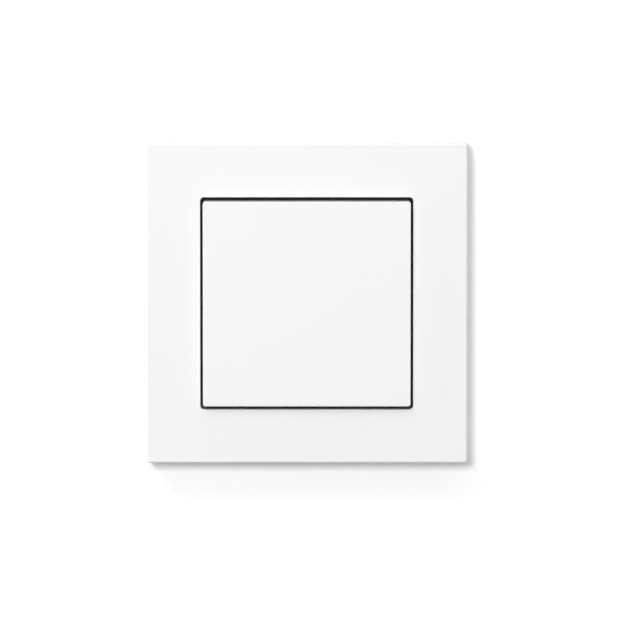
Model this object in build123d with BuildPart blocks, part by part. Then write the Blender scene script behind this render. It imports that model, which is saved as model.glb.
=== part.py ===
# Wireless light switch: one large rocker in a square frame that is glued or screwed to a wall,
# with a self-powered radio module behind the rocker.
#
# X runs to the right and Z upwards. The wall is the plane Y = 0, and the switch stands out from
# it towards -Y. "Depth" is the distance from the wall. All sizes are in millimetres.

from build123d import *
from math import radians, sin
import os

os.makedirs("parts", exist_ok=True)

# Wall plate with its screw holes and foam pads
screw_spacing = 60.0
screw_hole = 4.2
countersink = 6.2
slot_length = 8.0
plate_rim = 1.5
plate_thickness = 1.6
plate_corner = 4.0
plate_window = 40.0
pad_size = 16.0
pad_margin = 3.5
pad_thickness = 1.1
pad_sink = 0.3
pad_play = 0.2

# Cover frame
frame_overhang = 6.5
frame_corner = 0.8
frame_edge = 0.5
frame_wall = 1.8
frame_face = 2.0
opening_corner = 1.0
opening_edge = 0.15
collar_wall = 1.2
ledge_thickness = 1.2
rib_thickness = 1.2
rib_place = 15.0

# Module carrier, and the plate's snap hooks that hold it
carrier_floor = 1.0
carrier_wall = 1.2
carrier_corner = 2.0
flange_thickness = 1.2
flange_play = 0.15
ledge_lap = 0.95
hook_height = 4.0
hook_thickness = 1.0
hook_width = 5.0
hook_place = 14.0
hook_bite = 0.6
hook_seat_height = 2.8
hook_land = 0.4
hook_play = 0.25
window_play = 0.3
shelf_beside = 5.0
shelf_above = 4.0

# Clips of the carrier that hold the radio module
clip_thickness = 1.0
clip_width = 4.0
clip_place = 11.0
clip_gap = 0.1
clip_bite = 0.5
clip_play = 0.05
clip_seat_height = 2.2
clip_land = 0.3
clip_nose = 1.2
clip_side_play = 0.2

# Radio module housing
module_half_width = 20.0
module_half_height = 17.0
module_corner = 1.5
module_edge = 0.5
module_wall = 1.2
module_floor = 1.0
module_base_wall = 3.0
module_front_wall = 1.0
component_room = 1.0
lip_thickness = 0.5
lip_height = 0.6
lip_play = 0.05

# Rocker, its axle and its swing
rocker_tilt = 4.5
axle_radius = 1.6
axle_end = 0.35
axle_setback = 2.4
axle_play = 0.05
beside_axle = 1.9
above_bow = 2.9
rocker_side_gap = 0.7
rocker_end_gap = 1.0
rocker_room = 0.55
rocker_face = 1.6
rocker_wall = 1.2
rocker_stand = 2.2
rocker_corner = 0.7
rocker_edge = 0.3
skirt_draft = 0.1
skirt_gap = 0.35
ear_gap = 0.25
ear_thickness = 1.6
ear_radius = 3.0
ear_mouth = 2.7
ear_lead = 0.5
stiffener_thickness = 0.9
stiffener_height = 2.0
stiffener_step = 3.5

# Energy bow: the see-saw ring round the module that the rocker pushes
bow_gap = 0.5
bow_arm = 1.5
bow_arm_rear = 1.0
bow_swing_gap = 0.25
bow_bar_rear = 0.2
bow_bar_gap = 0.8
bow_hub = 1.6
bow_axle = 1.0
bow_axle_play = 0.05
bow_axle_skin = 0.5
bow_axle_end = 0.1
arm_slot_play = 0.25
pusher_lash = 0.15
pusher_width = 5.0
pusher_thickness = 1.2
pusher_place = 9.0

# Return springs under the bow's two bars
spring_radius = 1.1
spring_wire = 0.3
spring_turns = 3
spring_seat = 0.6
spring_play = 0.15
seat_wall = 0.3
spigot_radius = 0.7
spigot_height = 1.2

# Coil, core and armature of the generator
coil_gap = 0.1
coil_side_room = 2.5
bar_width = 2.6
core_thickness = 1.2
core_side_room = 3.6
core_play = 0.1
bobbin_wall = 0.6
bobbin_flange = 0.8
bobbin_end_room = 1.0
winding_thickness = 0.95
flange_rise = 0.05
terminal_width = 0.6
terminal_block = 2.15
terminal_reach = 1.7
terminal_foot = 0.3
terminal_stand = 0.6
stake_radius = 0.6
stake_head = 1.0
stake_play = 0.05
pedestal_radius = 1.25
fork_length = 4.4
fork_back = 1.6
fork_width = 2.0
fork_inset = 0.4
fork_swing_gap = 0.08
fork_slot_play = 0.1
leaf_width = 3.0
leaf_thickness = 0.3
leaf_end_room = 1.8
leaf_play = 0.3
bearing_gap = 0.3
bearing_thickness = 1.4
bearing_half_width = 1.6
bearing_mouth = 1.15
pin_radius = 0.7
pin_play = 0.05
boss_half_height = 2.0
boss_wall = 0.95
holder_half_height = 3.2
holder_end = 1.6
magnet_length = 5.0
magnet_half_height = 2.4
pole_lap = 0.8
pole_half_height = 6.0
pole_thickness = 0.6
pole_rest_gap = 0.03
tip_gap = 0.5

# Circuit board, its posts and the rubber contact mats
board_thickness = 0.8
board_side_gap = 0.6
board_end_gap = 0.3
board_lift = 0.1
crystal_inset = 6.2
crystal_lift = 3.0
crystal_width = 3.2
crystal_height = 2.5
crystal_rise = 0.7
chip_step = 5.5
chip_lift = 1.5
chip_width = 5.0
chip_rise = 0.85
diode_inset = 7.2
diode_spacing = 3.0
diode_width = 2.6
diode_height = 1.6
diode_rise = 0.8
capacitor_step = 4.5
capacitor_spacing = 3.5
capacitor_width = 3.2
capacitor_height = 2.5
capacitor_rise = 0.9
post_sides = 8
post_inset = 1.6
post_radius = 1.0
post_step_right = 2.8
post_step_left = 2.2
peg_radius = 0.5
peg_play = 0.05
mat_gap = 0.62
nipple_step = 3.2
nipple_radius = 1.3
nipple_hole_play = 0.2
nipple_stand = 0.8
nipple_gap = 0.3
nipple_pad = 3.4
mat_thickness = 0.5
mat_margin = 0.6
antenna_radius = 0.25
antenna_inset = 1.0
antenna_span = 2.7
antenna_gap = 2.1

# Depths, from the wall outwards
swing = sin(radians(rocker_tilt))
plate_rear = pad_thickness - pad_sink
plate_front = plate_rear + plate_thickness
carrier_front = plate_front + carrier_floor
hook_tip = plate_front + hook_height
hook_seat = plate_front + hook_seat_height
flange_rear = hook_tip + window_play
flange_front = flange_rear + flange_thickness
ledge_rear = flange_rear - ledge_thickness
clip_seat = carrier_front + clip_seat_height
clip_tip = clip_seat + clip_nose
module_inside = carrier_front + module_floor
parting = module_inside + module_base_wall
bobbin_half_depth = core_thickness / 2 + core_play + bobbin_wall + winding_thickness + flange_rise
core_axis = module_inside + coil_gap + bobbin_half_depth
core_rear = core_axis - core_thickness / 2
core_front = core_axis + core_thickness / 2
terminal_rear = core_axis + terminal_foot
board_rear = core_axis + bobbin_half_depth + board_lift
board_front = board_rear + board_thickness
cover_inside = board_front + component_room
module_front = cover_inside + module_front_wall
bow_axis = parting
arm_rear = bow_axis - bow_arm_rear
arm_front = cover_inside - module_half_height * swing - bow_swing_gap
bar_rear = bow_axis + bow_bar_rear
pivot = module_front - axle_setback
rocker_inside = module_front + module_half_height * swing + rocker_room
rocker_front = rocker_inside + rocker_face
frame_front = rocker_front - rocker_stand
frame_inside = frame_front - frame_face
nipple_top = module_front + nipple_stand

# Half sizes across (x) and up (z), from the module outwards
cavity_x = module_half_width - module_wall
cavity_z = module_half_height - module_wall
seat_radius = spring_radius + spring_wire / 2 + spring_play
bar_inner_z = module_half_height + bow_bar_gap
bar_z = bar_inner_z + seat_wall + seat_radius
bar_outer_z = bar_z + seat_radius + seat_wall
ear_inner_x = module_half_width + ear_gap
ear_outer_x = ear_inner_x + ear_thickness
axle_length = ear_outer_x + axle_end - module_half_width
carrier_inner_x = ear_outer_x + axle_end + beside_axle
carrier_inner_z = bar_outer_z + above_bow
hook_room = hook_play + hook_thickness + hook_play
carrier_outer_x = carrier_inner_x + carrier_wall
carrier_outer_z = carrier_inner_z + carrier_wall
hook_inner = carrier_outer_x + hook_play
hook_outer = hook_inner + hook_thickness
ledge_x = carrier_outer_x + hook_room
ledge_z = carrier_outer_z + hook_room
flange_x = ledge_x + ledge_lap
flange_z = ledge_z + ledge_lap
opening_x = flange_x + flange_play
opening_z = flange_z + flange_play
rocker_x = opening_x - rocker_side_gap
rocker_z = opening_z - rocker_end_gap
skirt_rear = flange_front + (rocker_z + skirt_draft) * swing + skirt_gap
plate_half = screw_spacing / 2 + slot_length / 2 + plate_rim
frame_half = plate_half + frame_overhang
frame_inner = frame_half - frame_wall
pad_place = plate_half - pad_margin - pad_size / 2
bow_outer_x = cavity_x - bow_gap
bow_inner_x = bow_outer_x - bow_arm
axle_tip_x = module_half_width - bow_axle_skin
board_x = bow_inner_x - board_side_gap
board_z = cavity_z - board_end_gap

# Generator: the armature is placed from the bow's right arm and the coil from its left arm
fork_left = bow_inner_x - fork_length
slot_end = bow_inner_x - fork_back
leaf_right = slot_end - leaf_play
leaf_left = leaf_right - leaf_width
boss_left = leaf_left - leaf_play
boss_right = leaf_right + leaf_play
right_bearing = boss_left - bearing_gap - bearing_thickness / 2
holder_right = boss_left - 2 * bearing_gap - bearing_thickness
magnet_right = holder_right - holder_end
magnet_left = magnet_right - magnet_length
holder_left = magnet_left - holder_end
left_bearing = holder_left - bearing_gap - bearing_thickness / 2
magnet_x = (magnet_left + magnet_right) / 2
pin_left = left_bearing - bearing_thickness / 2 - bearing_gap
holder_half_depth = core_thickness / 2 + pole_half_height * swing + pole_rest_gap
tip_inner_z = holder_half_height + tip_gap
winding_half_width = bar_width / 2 + core_play + bobbin_wall + winding_thickness
bobbin_half_width = winding_half_width + flange_rise
coil_x = -bow_inner_x + coil_side_room + bobbin_half_width
leg_outer_z = cavity_z - core_side_room
leg_inner_z = leg_outer_z - bar_width
leg_z = leg_outer_z - bar_width / 2
bobbin_half_height = leg_inner_z - bobbin_end_room
terminal_x = coil_x - bar_width / 2 - stake_play - terminal_block / 2 - core_play
terminal_z = bobbin_half_height + terminal_reach / 2
leaf_half_height = cavity_z - leaf_end_room
fork_outer_z = leaf_half_height - fork_inset
fork_z = fork_outer_z - fork_width / 2
fork_half_depth = bobbin_half_depth - fork_outer_z * swing - fork_swing_gap
crystal_x = board_x - crystal_inset
chip_x = crystal_x - chip_step
diode_x = diode_inset - board_x
capacitor_x = diode_x + capacitor_step
post_z = cavity_z - post_inset
right_post = fork_left - post_step_right
left_post = -bow_inner_x + post_step_left
nipple_x = -terminal_x - terminal_width / 2 - mat_gap - mat_margin - nipple_radius
nipple_z = post_z - nipple_step
antenna_left = -board_x + antenna_inset
antenna_z = nipple_z - nipple_radius - mat_margin - antenna_gap
clip_notch = clip_bite + clip_play
post_places = [(across, up) for across in (left_post, right_post) for up in (-post_z, post_z)]
peg_places = [(right_post, -post_z), (right_post, post_z)]
stake_places = [(across, up) for across in (coil_x, left_bearing) for up in (-leg_z, leg_z)]
terminal_places = [(terminal_x, -terminal_z), (terminal_x, terminal_z)]


def level(depth):
    """Plane parallel to the wall at a depth, seen from the front: x to the right, y upwards."""
    return Plane.XZ.offset(depth)


def side_on(x):
    """Plane across the switch at x: its x is the depth and its y runs upwards. It faces -X."""
    return Plane(origin=(x, 0, 0), x_dir=(0, -1, 0), z_dir=(-1, 0, 0))


def from_above(z):
    """Plane at height z: its x runs to the right and its y is the depth. It faces downwards."""
    return Plane(origin=(0, 0, z), x_dir=(1, 0, 0), z_dir=(0, 0, -1))


def save(piece, name):
    """Name a finished piece and write it to its own file."""
    piece.part.label = name
    export_step(piece.part, f"parts/{name}.step")


def hook_outline(side, inner, outer, nose, foot, seat, land, tip):
    """Points across and out of a snap hook whose nose looks inwards, on the given side of the middle."""
    shape = [
        (outer, foot),
        (outer, tip),
        (inner, tip),
        (nose, seat + land),
        (nose, seat),
        (inner, seat),
        (inner, foot),
    ]
    return [(side * across, depth) for across, depth in shape]


# Cover frame: a shell with a collar round the opening. The carrier's flange clamps its ledge, and
# its ribs stand on the wall plate.
with BuildPart() as cover_frame:
    with BuildSketch(level(0)):
        RectangleRounded(2 * frame_half, 2 * frame_half, frame_corner)
    extrude(amount=frame_front)
    fillet(cover_frame.faces().sort_by(Axis.Y)[0].edges(), radius=frame_edge)
    with BuildSketch(level(0)):
        Rectangle(2 * frame_inner, 2 * frame_inner)
    extrude(amount=frame_inside, mode=Mode.SUBTRACT)
    with BuildSketch(level(ledge_rear)):
        Rectangle(2 * (opening_x + collar_wall), 2 * (opening_z + collar_wall))
    extrude(amount=frame_inside - ledge_rear)
    collar_x = opening_x + collar_wall
    collar_z = opening_z + collar_wall
    with BuildSketch(level(plate_front)):
        with GridLocations(frame_inner + collar_x, 2 * rib_place, 2, 2):
            Rectangle(frame_inner - collar_x, rib_thickness)
        with GridLocations(2 * rib_place, frame_inner + collar_z, 2, 2):
            Rectangle(rib_thickness, frame_inner - collar_z)
    extrude(amount=frame_inside - plate_front)
    with BuildSketch(level(flange_rear)):
        RectangleRounded(2 * opening_x, 2 * opening_z, opening_corner)
    extrude(amount=frame_front - flange_rear, mode=Mode.SUBTRACT)
    with BuildSketch(level(ledge_rear)):
        RectangleRounded(2 * ledge_x, 2 * ledge_z, opening_corner)
    extrude(amount=ledge_thickness, mode=Mode.SUBTRACT)
    front_face = cover_frame.faces().sort_by(Axis.Y)[0]
    chamfer(front_face.inner_wires()[0].edges(), length=opening_edge)
save(cover_frame, "cover_frame")

# Wall plate: pad recesses behind, screw slots left and right, countersunk holes above and below
with BuildPart() as mounting_plate:
    with BuildSketch(level(plate_rear)):
        RectangleRounded(2 * plate_half, 2 * plate_half, plate_corner)
        Circle(plate_window / 2, mode=Mode.SUBTRACT)
        with GridLocations(screw_spacing, 0, 2, 1):
            SlotOverall(slot_length, screw_hole, mode=Mode.SUBTRACT)
    extrude(amount=plate_thickness)
    with BuildSketch(level(plate_rear)):
        with GridLocations(2 * pad_place, 2 * pad_place, 2, 2):
            Rectangle(pad_size + 2 * pad_play, pad_size + 2 * pad_play)
    extrude(amount=pad_sink, mode=Mode.SUBTRACT)
    with Locations(level(plate_front)):
        with GridLocations(0, screw_spacing, 1, 2):
            CounterSinkHole(screw_hole / 2, countersink / 2, counter_sink_angle=90)
    for height in (-hook_place, hook_place):
        for side in (-1, 1):
            with BuildSketch(from_above(height)):
                with BuildLine():
                    Polyline(
                        hook_outline(
                            side,
                            hook_inner,
                            hook_outer,
                            carrier_outer_x - hook_bite,
                            plate_front,
                            hook_seat,
                            hook_land,
                            hook_tip,
                        ),
                        close=True,
                    )
                make_face()
            extrude(amount=hook_width / 2, both=True)
save(mounting_plate, "mounting_plate")

with BuildPart() as adhesive_pads:
    with BuildSketch(level(0)):
        with GridLocations(2 * pad_place, 2 * pad_place, 2, 2):
            Rectangle(pad_size, pad_size)
    extrude(amount=pad_thickness)
save(adhesive_pads, "adhesive_pads")

# Module carrier: a tray with a flange on the frame's ledge, windows for the plate's hooks, clips
# for the module and spigots for the return springs
with BuildPart() as module_carrier:
    with BuildSketch(level(plate_front)):
        RectangleRounded(2 * carrier_outer_x, 2 * carrier_outer_z, carrier_corner)
    extrude(amount=flange_front - plate_front)
    with BuildSketch(level(flange_rear)):
        RectangleRounded(2 * flange_x, 2 * flange_z, opening_corner)
    extrude(amount=flange_thickness)
    with BuildSketch(level(carrier_front)):
        RectangleRounded(2 * carrier_inner_x, 2 * carrier_inner_z, carrier_corner)
    extrude(amount=flange_front - carrier_front, mode=Mode.SUBTRACT)
    with BuildSketch(level(plate_front)):
        RectangleRounded(
            2 * (module_half_width - shelf_beside),
            2 * (module_half_height - shelf_above),
            carrier_corner,
        )
    extrude(amount=carrier_floor, mode=Mode.SUBTRACT)
    with BuildSketch(level(hook_seat)):
        with GridLocations(2 * carrier_inner_x + carrier_wall, 2 * hook_place, 2, 2):
            Rectangle(carrier_wall, hook_width + 2 * window_play)
    extrude(amount=flange_rear - hook_seat, mode=Mode.SUBTRACT)
    for height in (-clip_place, clip_place):
        for side in (-1, 1):
            with BuildSketch(from_above(height)):
                with BuildLine():
                    Polyline(
                        hook_outline(
                            side,
                            module_half_width + clip_gap,
                            module_half_width + clip_gap + clip_thickness,
                            module_half_width - clip_bite,
                            carrier_front,
                            clip_seat,
                            clip_land,
                            clip_tip,
                        ),
                        close=True,
                    )
                make_face()
            extrude(amount=clip_width / 2, both=True)
    with BuildSketch(level(carrier_front)):
        with GridLocations(0, 2 * bar_z, 1, 2):
            Circle(spigot_radius)
    extrude(amount=spigot_height)
save(module_carrier, "module_carrier")

# Slots for the bow's arms and blind holes for its axle, which both halves of the housing share
arm_room = module_half_height * swing + arm_slot_play
slot_x = (bow_inner_x - arm_slot_play + cavity_x) / 2
slot_width = cavity_x - bow_inner_x + arm_slot_play
axle_room = bow_axle + bow_axle_play
axle_hole_end = axle_tip_x + bow_axle_end

# Rear half of the module's housing, with the armature's bearings, the core's pedestals and the
# board's posts
with BuildPart() as module_base:
    with BuildSketch(level(carrier_front)):
        RectangleRounded(2 * module_half_width, 2 * module_half_height, module_corner)
    extrude(amount=parting - carrier_front)
    with BuildSketch(level(parting)):
        Rectangle(2 * (cavity_x + lip_thickness), 2 * (cavity_z + lip_thickness))
    extrude(amount=lip_height)
    with BuildSketch(level(module_inside)):
        Rectangle(2 * cavity_x, 2 * cavity_z)
    extrude(amount=parting + lip_height - module_inside, mode=Mode.SUBTRACT)
    with BuildSketch(level(arm_rear - arm_room)):
        with GridLocations(2 * slot_x, 2 * cavity_z + module_wall, 2, 2):
            Rectangle(slot_width, module_wall)
    extrude(amount=parting + lip_height - arm_rear + arm_room, mode=Mode.SUBTRACT)
    with BuildSketch(level(parting)):
        Rectangle(2 * module_half_width, 2 * (bow_hub + arm_slot_play))
    extrude(amount=lip_height, mode=Mode.SUBTRACT)
    with BuildSketch(side_on(axle_hole_end)):
        with Locations((bow_axis, 0)):
            Circle(axle_room)
    extrude(amount=2 * axle_hole_end, mode=Mode.SUBTRACT)
    with BuildSketch(level(clip_seat)):
        with GridLocations(2 * module_half_width - clip_notch, 2 * clip_place, 2, 2):
            Rectangle(clip_notch, clip_width + 2 * clip_side_play)
    extrude(amount=clip_land + clip_nose, mode=Mode.SUBTRACT)
    with BuildSketch(level(module_inside)):
        with Locations(post_places):
            RegularPolygon(post_radius, post_sides)
    extrude(amount=board_rear - module_inside)
    with BuildSketch(level(board_rear)):
        with Locations(peg_places):
            RegularPolygon(peg_radius, post_sides)
    extrude(amount=board_thickness)
    with BuildSketch(level(module_inside)):
        with Locations(stake_places):
            RegularPolygon(pedestal_radius, post_sides)
    extrude(amount=core_rear - module_inside)
    with BuildSketch(level(core_rear)):
        with Locations(stake_places):
            RegularPolygon(stake_radius, post_sides)
    extrude(amount=core_thickness)
    with BuildSketch(level(core_front)):
        with Locations(stake_places):
            RegularPolygon(stake_head, post_sides)
    extrude(amount=stake_radius, taper=20)
    for middle in (left_bearing, right_bearing):
        with BuildSketch(side_on(middle)):
            with Locations(((module_inside + core_axis + 2 * pin_radius) / 2, 0)):
                Rectangle(core_axis + 2 * pin_radius - module_inside, 2 * bearing_half_width)
            with Locations((core_axis, 0)):
                Circle(pin_radius + pin_play, mode=Mode.SUBTRACT)
            with BuildLine():
                Polyline(
                    (core_axis, bearing_mouth / 2),
                    (core_axis + pin_radius, bearing_mouth / 2),
                    (core_axis + 2 * pin_radius, bearing_mouth),
                    (core_axis + 2 * pin_radius, -bearing_mouth),
                    (core_axis + pin_radius, -bearing_mouth / 2),
                    (core_axis, -bearing_mouth / 2),
                    close=True,
                )
            make_face(mode=Mode.SUBTRACT)
        extrude(amount=bearing_thickness / 2, both=True)
save(module_base, "module_base")

# Front half of the housing, with the rocker's two stub axles and the holes for the nipples
with BuildPart() as module_cover:
    with BuildSketch(level(parting)):
        RectangleRounded(2 * module_half_width, 2 * module_half_height, module_corner)
    extrude(amount=module_front - parting)
    chamfer(module_cover.faces().sort_by(Axis.Y)[0].edges(), length=module_edge)
    with BuildSketch(level(parting)):
        Rectangle(2 * cavity_x, 2 * cavity_z)
    extrude(amount=cover_inside - parting, mode=Mode.SUBTRACT)
    lip_room = lip_thickness + lip_play
    with BuildSketch(level(parting)):
        Rectangle(2 * (cavity_x + lip_room), 2 * (cavity_z + lip_room))
    extrude(amount=lip_height + lip_play, mode=Mode.SUBTRACT)
    with BuildSketch(level(parting)):
        with GridLocations(2 * slot_x, 2 * cavity_z + module_wall, 2, 2):
            Rectangle(slot_width, module_wall)
    extrude(amount=cover_inside - parting, mode=Mode.SUBTRACT)
    with BuildSketch(side_on(axle_hole_end)):
        with Locations((bow_axis, 0)):
            Circle(axle_room)
    extrude(amount=2 * axle_hole_end, mode=Mode.SUBTRACT)
    with BuildSketch(level(cover_inside)):
        with GridLocations(2 * nipple_x, 2 * nipple_z, 2, 2):
            Circle(nipple_radius + nipple_hole_play)
    extrude(amount=module_front_wall, mode=Mode.SUBTRACT)
    with BuildSketch(level(board_front)):
        with Locations(post_places):
            RegularPolygon(post_radius, post_sides)
    extrude(amount=component_room)
    for side in (-1, 1):
        with BuildSketch(side_on(side * (module_half_width + axle_length / 2))):
            with Locations((pivot, 0)):
                Circle(axle_radius)
        extrude(amount=axle_length / 2, both=True)
save(module_cover, "module_cover")

# Circuit board, clamped between the posts of both halves
with BuildPart() as circuit_board:
    with BuildSketch(level(board_rear)):
        RectangleRounded(2 * board_x, 2 * board_z, module_corner)
        with Locations(peg_places):
            RegularPolygon(peg_radius + peg_play, post_sides, mode=Mode.SUBTRACT)
        with Locations(terminal_places):
            Rectangle(terminal_width + 2 * pin_play, terminal_width + 2 * pin_play, mode=Mode.SUBTRACT)
    extrude(amount=board_thickness)
save(circuit_board, "circuit_board")


def component(place, width, height, rise, count=1, spacing=0):
    """Moulded components of one kind in a column on the board, rising from its front."""
    with BuildPart() as piece:
        with BuildSketch(level(board_front)):
            with Locations(place):
                with GridLocations(0, spacing, 1, count):
                    Rectangle(width, height)
        extrude(amount=rise, taper=4)
    return piece


save(component((chip_x, chip_lift), chip_width, chip_width, chip_rise), "radio_chip")
save(component((crystal_x, crystal_lift), crystal_width, crystal_height, crystal_rise), "crystal")
capacitor_size = (capacitor_width, capacitor_height, capacitor_rise)
save(component((capacitor_x, 0), *capacitor_size, 3, capacitor_spacing), "storage_capacitors")
diode_size = (diode_width, diode_height, diode_rise)
save(component((diode_x, 0), *diode_size, 4, diode_spacing), "rectifier_diodes")

# Antenna: a bent wire along the board's left edge
with BuildPart() as antenna_wire:
    with BuildLine(level(board_front + antenna_radius)) as antenna_path:
        Polyline(
            (antenna_left, -antenna_z),
            (antenna_left, antenna_z),
            (antenna_left + antenna_span, antenna_z),
            (antenna_left + antenna_span, antenna_span - antenna_z),
        )
    with BuildSketch(Plane(origin=antenna_path.line @ 0, z_dir=antenna_path.line % 0)):
        Circle(antenna_radius)
    sweep(transition=Transition.RIGHT)
save(antenna_wire, "antenna_wire")

# Generator core: a C-shaped stamping whose tips reach in between the pole plates
with BuildPart() as generator_core:
    with BuildSketch(level(core_rear)):
        with Locations((coil_x, 0)):
            Rectangle(bar_width, 2 * leg_outer_z)
        leg_length = magnet_right - coil_x + bar_width / 2
        with GridLocations(0, 2 * leg_z, 1, 2):
            with Locations((magnet_right - leg_length / 2, 0)):
                Rectangle(leg_length, bar_width)
        with GridLocations(0, leg_outer_z + tip_inner_z, 1, 2):
            with Locations((magnet_x, 0)):
                Rectangle(magnet_length, leg_outer_z - tip_inner_z)
        with Locations(stake_places):
            RegularPolygon(stake_radius + stake_play, post_sides, mode=Mode.SUBTRACT)
    extrude(amount=core_thickness)
save(generator_core, "generator_core")

# Bobbin on the core's bar, with a block at each end for the terminal pins
sleeve_half_width = bar_width / 2 + core_play + bobbin_wall
sleeve_half_depth = core_thickness / 2 + core_play + bobbin_wall
with BuildPart() as coil_bobbin:
    with BuildSketch(from_above(0)):
        with Locations((coil_x, core_axis)):
            Rectangle(2 * sleeve_half_width, 2 * sleeve_half_depth)
    extrude(amount=bobbin_half_height, both=True)
    for end in (-1, 1):
        with BuildSketch(from_above(end * (bobbin_half_height - bobbin_flange / 2))):
            with Locations((coil_x, core_axis)):
                Rectangle(2 * bobbin_half_width, 2 * bobbin_half_depth)
        extrude(amount=bobbin_flange / 2, both=True)
        with BuildSketch(level(core_axis)):
            with Locations((terminal_x, end * terminal_z)):
                Rectangle(terminal_block, terminal_reach)
        extrude(amount=bobbin_half_depth)
        with BuildSketch(level(terminal_rear)):
            with Locations((terminal_x, end * terminal_z)):
                Rectangle(terminal_width, terminal_width)
        extrude(amount=bobbin_half_depth, mode=Mode.SUBTRACT)
    with BuildSketch(from_above(0)):
        with Locations((coil_x, core_axis)):
            Rectangle(bar_width + 2 * core_play, core_thickness + 2 * core_play)
    extrude(amount=bobbin_half_height, both=True, mode=Mode.SUBTRACT)
save(coil_bobbin, "coil_bobbin")

with BuildPart() as coil_winding:
    with BuildSketch(from_above(0)):
        with Locations((coil_x, core_axis)):
            RectangleRounded(
                2 * winding_half_width,
                2 * (sleeve_half_depth + winding_thickness),
                winding_thickness,
            )
            Rectangle(2 * sleeve_half_width, 2 * sleeve_half_depth, mode=Mode.SUBTRACT)
    extrude(amount=bobbin_half_height - bobbin_flange, both=True)
save(coil_winding, "coil_winding")

with BuildPart() as coil_terminals:
    with BuildSketch(level(terminal_rear)):
        with Locations(terminal_places):
            Rectangle(terminal_width, terminal_width)
    extrude(amount=board_front + terminal_stand - terminal_rear)
save(coil_terminals, "coil_terminals")


def contact_mat(height):
    """Rubber mat with a nipple for each of the two contacts at one height."""
    with BuildPart() as mat:
        with BuildSketch(level(board_front)):
            with Locations((0, height)):
                RectangleRounded(
                    2 * (nipple_x + nipple_radius + mat_margin),
                    2 * (nipple_radius + mat_margin),
                    mat_margin,
                )
        extrude(amount=mat_thickness)
        with BuildSketch(level(board_front + mat_thickness)):
            with Locations((0, height)):
                with GridLocations(2 * nipple_x, 0, 2, 1):
                    Circle(nipple_radius)
        extrude(amount=nipple_top - board_front - mat_thickness)
    return mat


save(contact_mat(nipple_z), "upper_contact_mat")
save(contact_mat(-nipple_z), "lower_contact_mat")

# Energy bow: two arms that pass through the housing, a bar above and one below it, the axle in
# the middle of each arm, and the two forks that bend the leaf spring
with BuildPart() as energy_bow:
    with BuildSketch(level(arm_rear)):
        with GridLocations(bow_outer_x + bow_inner_x, 0, 2, 1):
            Rectangle(bow_arm, 2 * bar_outer_z)
    extrude(amount=arm_front - arm_rear)
    with BuildSketch(level(bar_rear)):
        with GridLocations(0, 2 * bar_z, 1, 2):
            Rectangle(2 * bow_outer_x, bar_outer_z - bar_inner_z)
    extrude(amount=arm_front - bar_rear)
    with BuildSketch(level(bar_rear)):
        with GridLocations(0, 2 * bar_z, 1, 2):
            Circle(seat_radius)
    extrude(amount=spring_seat, mode=Mode.SUBTRACT)
    for side in (-1, 1):
        with BuildSketch(side_on(side * (bow_inner_x + bow_arm / 2))):
            with Locations((bow_axis, 0)):
                Circle(bow_hub)
        extrude(amount=bow_arm / 2, both=True)
    with BuildSketch(side_on(axle_tip_x)):
        with Locations((bow_axis, 0)):
            Circle(bow_axle)
    extrude(amount=axle_tip_x - bow_inner_x)
    with BuildSketch(side_on(-bow_inner_x)):
        with Locations((bow_axis, 0)):
            Circle(bow_axle)
    extrude(amount=axle_tip_x - bow_inner_x)
    for end in (-1, 1):
        with BuildSketch(from_above(end * fork_z)):
            with Locations(((fork_left + bow_inner_x) / 2, core_axis)):
                Rectangle(fork_length, 2 * fork_half_depth)
            with Locations(((fork_left + slot_end) / 2, core_axis)):
                Rectangle(
                    fork_length - fork_back,
                    leaf_thickness + 2 * fork_slot_play,
                    mode=Mode.SUBTRACT,
                )
        extrude(amount=fork_width / 2, both=True)
save(energy_bow, "energy_bow")


def return_spring(height):
    """Compression spring from the carrier's floor into the seat of a bow's bar."""
    foot = carrier_front + spring_wire / 2
    free_height = bar_rear + spring_seat - spring_wire / 2 - foot
    with BuildPart() as spring:
        with BuildLine() as coil:
            Helix(
                pitch=free_height / spring_turns,
                height=free_height,
                radius=spring_radius,
                center=(0, -foot, height),
                direction=(0, -1, 0),
            )
        with BuildSketch(Plane(origin=coil.line @ 0, z_dir=coil.line % 0)):
            Rectangle(spring_wire, spring_wire)
        sweep(is_frenet=True)
    return spring


save(return_spring(bar_z), "upper_return_spring")
save(return_spring(-bar_z), "lower_return_spring")

# Armature holder: a rim round the magnet on two pins, with a boss that the leaf spring passes through
with BuildPart() as armature_holder:
    with BuildSketch(level(core_axis - holder_half_depth)):
        with Locations(((holder_left + holder_right) / 2, 0)):
            Rectangle(holder_right - holder_left, 2 * holder_half_height)
        with Locations((magnet_x, 0)):
            Rectangle(magnet_length, 2 * magnet_half_height, mode=Mode.SUBTRACT)
    extrude(amount=2 * holder_half_depth)
    with BuildSketch(side_on(holder_left)):
        with Locations((core_axis, 0)):
            Circle(pin_radius)
    extrude(amount=holder_left - pin_left)
    with BuildSketch(side_on(boss_left)):
        with Locations((core_axis, 0)):
            Circle(pin_radius)
    extrude(amount=boss_left - holder_right)
    with BuildSketch(from_above(0)):
        with Locations(((boss_left + boss_right) / 2, core_axis)):
            Rectangle(boss_right - boss_left, leaf_thickness + 2 * boss_wall)
            Rectangle(leaf_width, leaf_thickness, mode=Mode.SUBTRACT)
    extrude(amount=boss_half_height, both=True)
save(armature_holder, "armature_holder")

with BuildPart() as magnet:
    with BuildSketch(level(core_axis - holder_half_depth)):
        with Locations((magnet_x, 0)):
            Rectangle(magnet_length, 2 * magnet_half_height)
    extrude(amount=2 * holder_half_depth)
save(magnet, "magnet")


def pole_plate(rear):
    """Steel plate on one face of the magnet, reaching past the core's tips at both ends."""
    with BuildPart() as plate:
        with BuildSketch(level(rear)):
            with Locations((magnet_x, 0)):
                Rectangle(magnet_length + 2 * pole_lap, 2 * pole_half_height)
        extrude(amount=pole_thickness)
    return plate


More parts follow.
